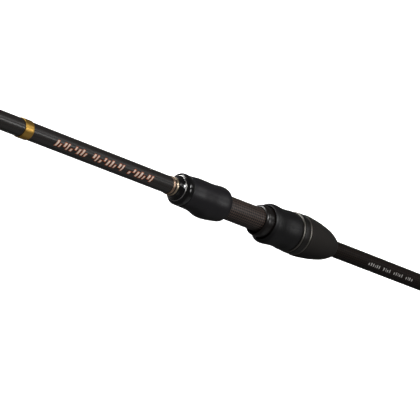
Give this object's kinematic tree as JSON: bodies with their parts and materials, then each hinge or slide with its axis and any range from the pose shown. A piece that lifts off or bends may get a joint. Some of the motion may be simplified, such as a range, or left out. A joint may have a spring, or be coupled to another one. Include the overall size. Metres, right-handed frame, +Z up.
{
  "type": "spinning rod",
  "caption": "Light two-section spinning rod with a split foam grip, a tubular reel seat with a screw-down hood, and ceramic line guides.",
  "frame": {"origin": "centre of the butt cap's flat end face", "axes": "+X along the rod from the butt to the tip; +Z up; the reel's foot and the guides are on the -Z side"},
  "size_m": [2.28, 0.0258, 0.0518],
  "materials": {
    "soft_rubber": "matt moulded rubber",
    "eva_foam": "ground closed-cell foam, matt",
    "carbon_blank": "clear-coated carbon fibre, faint weave",
    "carbon_pipe": "fine woven carbon fibre, satin",
    "gold_trim": "anodised gold, polished",
    "pale_trim": "pale gold, polished",
    "bright_trim": "polished",
    "grey_trim": "light grey, turned",
    "gloss_black": "gloss black",
    "soft_touch": "soft-touch black coating",
    "nut_plastic": "satin black",
    "arbor_foam": "matt",
    "guide_frame_steel": "smoked stainless steel",
    "guide_ceramic": "polished dark ceramic",
    "thread_winding": "black thread under clear epoxy"
  },
  "bodies": {
    "butt_section": {"butt_blank": "carbon_blank", "butt_cap": "soft_rubber", "butt_grip": "eva_foam", "butt_trim_ring": "gold_trim", "gold_band": "gold_trim", "gold_ring": "gold_trim", "grip_winding_check": "gloss_black", "guide_1_frame": "guide_frame_steel", "guide_1_ring": "guide_ceramic", "guide_1_winding_front": "thread_winding", "guide_1_winding_rear": "thread_winding", "pale_gold_ring": "pale_trim", "reel_seat_body": "soft_touch", "reel_seat_pipe": "carbon_pipe", "seat_arbor_front": "arbor_foam", "seat_arbor_middle": "arbor_foam", "seat_arbor_rear": "arbor_foam", "seat_bright_ring": "bright_trim", "seat_rim": "gloss_black", "seat_winding_check": "gloss_black"},
    "moving_hood": {"moving_hood": "soft_touch", "hood_sleeve": "gloss_black"},
    "lock_nut": {"lock_nut_barrel": "nut_plastic", "nut_ring_rear": "grey_trim", "nut_collar": "nut_plastic", "nut_ring_front": "grey_trim", "foregrip_cone": "eva_foam"},
    "tip_section": {"ferrule_winding": "thread_winding", "guide_2_frame": "guide_frame_steel", "guide_2_ring": "guide_ceramic", "guide_2_winding_front": "thread_winding", "guide_2_winding_rear": "thread_winding", "guide_3_frame": "guide_frame_steel", "guide_3_ring": "guide_ceramic", "guide_3_winding": "thread_winding", "guide_4_frame": "guide_frame_steel", "guide_4_ring": "guide_ceramic", "guide_4_winding": "thread_winding", "guide_5_frame": "guide_frame_steel", "guide_5_ring": "guide_ceramic", "guide_5_winding": "thread_winding", "guide_6_frame": "guide_frame_steel", "guide_6_ring": "guide_ceramic", "guide_6_winding": "thread_winding", "guide_7_frame": "guide_frame_steel", "guide_7_ring": "guide_ceramic", "guide_7_winding": "thread_winding", "guide_8_frame": "guide_frame_steel", "guide_8_ring": "guide_ceramic", "guide_8_winding": "thread_winding", "tip_blank": "carbon_blank", "tip_top_frame": "guide_frame_steel", "tip_top_ring": "guide_ceramic", "tip_top_tube": "guide_frame_steel", "tip_top_winding": "thread_winding"}
  },
  "joints": [
    {"name": "hood_slide", "type": "slide", "parent": "butt_section", "child": "moving_hood", "axis": [1, 0, 0], "range_m": [0, 0.014]},
    {"name": "nut_turn", "type": "hinge", "parent": "moving_hood", "child": "lock_nut", "pos_m": [0.348, 0, 0], "axis": [1, 0, 0], "range_deg": [0, 2520]},
    {"name": "tip_pull", "type": "slide", "parent": "butt_section", "child": "tip_section", "axis": [1, 0, 0], "range_m": [0, 0.07]}
  ],
  "couplings": [
    {"joint": "hood_slide", "follows": "nut_turn", "m_per_rad": 0.00031831}
  ]
}
